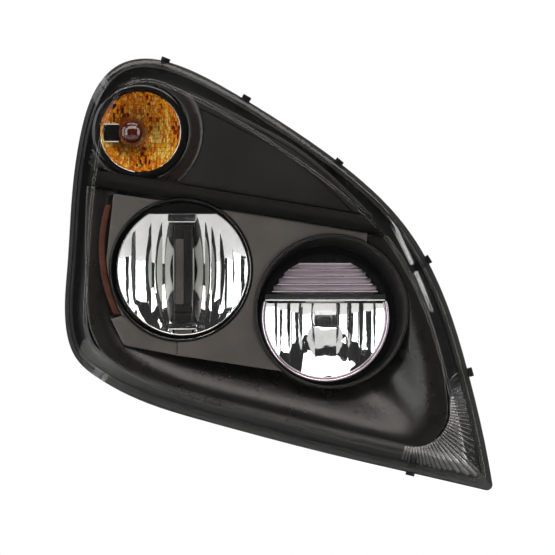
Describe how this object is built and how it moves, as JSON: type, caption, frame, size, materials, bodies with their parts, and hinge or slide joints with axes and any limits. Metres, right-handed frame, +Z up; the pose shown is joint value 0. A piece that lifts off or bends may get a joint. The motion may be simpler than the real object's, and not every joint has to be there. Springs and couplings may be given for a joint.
{
  "type": "vehicle headlight assembly",
  "caption": "Passenger-side heavy-truck headlight: clear wrap-around lens over a black bezel with turn signal, low beam, high beam and running-light louvres.",
  "frame": {"origin": "centre of the rear four-insert mounting pattern, on the boss faces", "axes": "+X inboard (towards the truck's centre line), +Z up, the lamp shines towards -Y; +Y leaves the mounting bosses rearwards"},
  "size_m": [0.6024, 0.2855, 0.608],
  "materials": {
    "housing_black": "matt black moulded",
    "bezel_black": "satin black moulded",
    "gloss_black": "gloss black",
    "lens_clear": "clear polycarbonate, hard coated",
    "amber_clear": "clear amber",
    "bright_chrome": "vacuum metallised mirror",
    "seal_rubber": "matt",
    "cast_aluminium": "as cast",
    "spring_steel": "zinc plated",
    "brass": "plain",
    "circuit_board": "white solder mask",
    "natural_nylon": "natural"
  },
  "bodies": {
    "housing": {"rear_housing": "housing_black", "mount_inserts": "brass", "outer_lens": "lens_clear", "lens_seal": "seal_rubber", "lens_clips": "spring_steel", "upper_bezel": "bezel_black", "eyebrow_trim": "bezel_black", "main_bezel": "bezel_black", "lower_skirt": "bezel_black", "high_beam_tube": "bezel_black", "low_beam_ring": "gloss_black", "side_reflector": "amber_clear", "turn_reflector": "bright_chrome", "turn_trim_ring": "gloss_black", "turn_bulb_cover": "amber_clear", "led_driver": "cast_aluminium", "driver_gasket": "seal_rubber", "main_connector": "housing_black", "connector_pins": "brass", "breather_vents": "seal_rubber", "housing_screws": "spring_steel", "low_pivot_brackets": "housing_black", "low_adjuster_housing": "housing_black", "high_pivot_brackets": "housing_black", "high_adjuster_housing": "housing_black"},
    "low_beam_module": {"low_reflector": "bright_chrome", "low_led_blade": "cast_aluminium", "low_led_boards": "circuit_board", "low_carrier": "cast_aluminium", "low_heatsink": "cast_aluminium", "low_screws": "spring_steel", "low_pivot_bushes": "natural_nylon", "low_ball_socket": "natural_nylon"},
    "high_beam_module": {"high_reflector": "bright_chrome", "high_trim_ring": "bright_chrome", "high_cross_bar": "bright_chrome", "high_led_board": "circuit_board", "high_upper_cover": "gloss_black", "drl_louvres": "bright_chrome", "drl_led_board": "circuit_board", "high_carrier": "cast_aluminium", "high_heatsink": "cast_aluminium", "high_screws": "spring_steel", "high_pivot_bushes": "natural_nylon", "high_ball_socket": "natural_nylon"},
    "low_stud": {"low_adjuster_stud": "spring_steel"},
    "high_stud": {"high_adjuster_stud": "spring_steel"},
    "low_knob": {"low_adjuster_knob": "natural_nylon"},
    "high_knob": {"high_adjuster_knob": "natural_nylon"},
    "low_cap": {"low_beam_cap": "housing_black", "low_cap_seal": "seal_rubber"},
    "high_cap": {"high_beam_cap": "housing_black", "high_cap_seal": "seal_rubber"},
    "turn_lamp_holder": {"turn_socket": "housing_black", "turn_bulb": "lens_clear", "turn_socket_seal": "seal_rubber"}
  },
  "joints": [
    {"name": "low_beam_aim", "type": "hinge", "parent": "housing", "child": "low_beam_module", "pos_m": [-0.102, -0.16, 0.046], "axis": [1, 0, 0], "range_deg": [-3, 3]},
    {"name": "high_beam_aim", "type": "hinge", "parent": "housing", "child": "high_beam_module", "pos_m": [0.097, -0.175, -0.021], "axis": [1, 0, 0], "range_deg": [-3, 3]},
    {"name": "low_stud_travel", "type": "slide", "parent": "housing", "child": "low_stud", "axis": [0, 1, 0], "range_m": [-0.005, 0.005]},
    {"name": "high_stud_travel", "type": "slide", "parent": "housing", "child": "high_stud", "axis": [0, 1, 0], "range_m": [-0.005, 0.005]},
    {"name": "low_knob_spin", "type": "hinge", "parent": "housing", "child": "low_knob", "pos_m": [-0.102, -0.03, -0.049], "axis": [0, 1, 0], "range_deg": [-900, 900]},
    {"name": "high_knob_spin", "type": "hinge", "parent": "housing", "child": "high_knob", "pos_m": [0.097, -0.03, -0.116], "axis": [0, 1, 0], "range_deg": [-900, 900]},
    {"name": "low_cap_twist", "type": "hinge", "parent": "housing", "child": "low_cap", "pos_m": [-0.102, -0.028, 0.046], "axis": [0, -1, 0], "range_deg": [0, 30]},
    {"name": "high_cap_twist", "type": "hinge", "parent": "housing", "child": "high_cap", "pos_m": [0.097, -0.028, -0.021], "axis": [0, -1, 0], "range_deg": [0, 30]},
    {"name": "turn_socket_twist", "type": "hinge", "parent": "housing", "child": "turn_lamp_holder", "pos_m": [-0.174, -0.1, 0.239], "axis": [0, -1, 0], "range_deg": [0, 45]}
  ],
  "couplings": [
    {"joint": "low_stud_travel", "follows": "low_beam_aim", "m_per_rad": 0.095},
    {"joint": "low_knob_spin", "follows": "low_beam_aim", "ratio": 298.45},
    {"joint": "high_stud_travel", "follows": "high_beam_aim", "m_per_rad": 0.095},
    {"joint": "high_knob_spin", "follows": "high_beam_aim", "ratio": 298.45}
  ]
}
